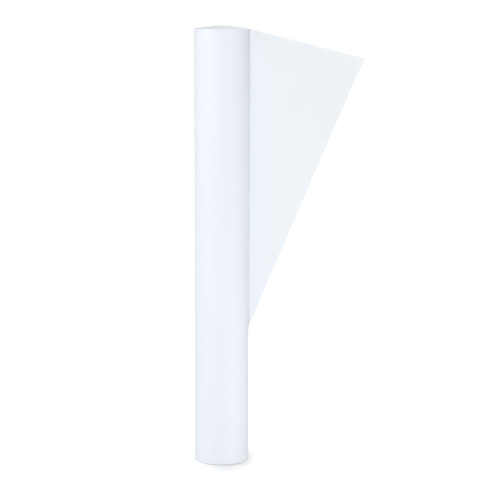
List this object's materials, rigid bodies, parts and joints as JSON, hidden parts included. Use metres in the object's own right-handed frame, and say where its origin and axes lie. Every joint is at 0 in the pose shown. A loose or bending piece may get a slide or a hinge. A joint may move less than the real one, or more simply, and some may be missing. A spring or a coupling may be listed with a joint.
{
  "type": "backdrop paper roll",
  "caption": "Roll of seamless white backdrop paper on a hollow board core, with its free end pulled out to one side as a tapering sheet.",
  "frame": {"origin": "on the axis of the core, at its lower end, which the roll stands on", "axes": "+Z along the core from the end it stands on to the other end; the paper leaves the roll at +Y and its free end reaches along +X"},
  "size_m": [0.2573, 0.0843, 0.6645],
  "materials": {
    "core_board": "matt brown kraft board, spiral wound",
    "core_board_dark": "matt grey-brown board, spiral wound",
    "tape": "double-sided tape, translucent cream",
    "white_paper": "smooth matt cool-white paper"
  },
  "bodies": {
    "roll": {"core_ply_inner": "core_board", "core_ply_2": "core_board_dark", "core_ply_3": "core_board", "core_ply_4": "core_board_dark", "core_ply_outer": "core_board", "start_tapes": "tape", "wound_paper": "white_paper"},
    "loose_turn": {"outer_turn": "white_paper"},
    "free_end": {"free_sheet": "white_paper"}
  },
  "joints": [
    {"name": "unwind", "type": "hinge", "parent": "roll", "child": "loose_turn", "pos_m": [0, 0, 0], "axis": [0, 0, 1], "continuous": true},
    {"name": "lift_end", "type": "hinge", "parent": "loose_turn", "child": "free_end", "pos_m": [0, 0.0423, 0], "axis": [0, 0, 1], "range_deg": [0, 75]}
  ]
}
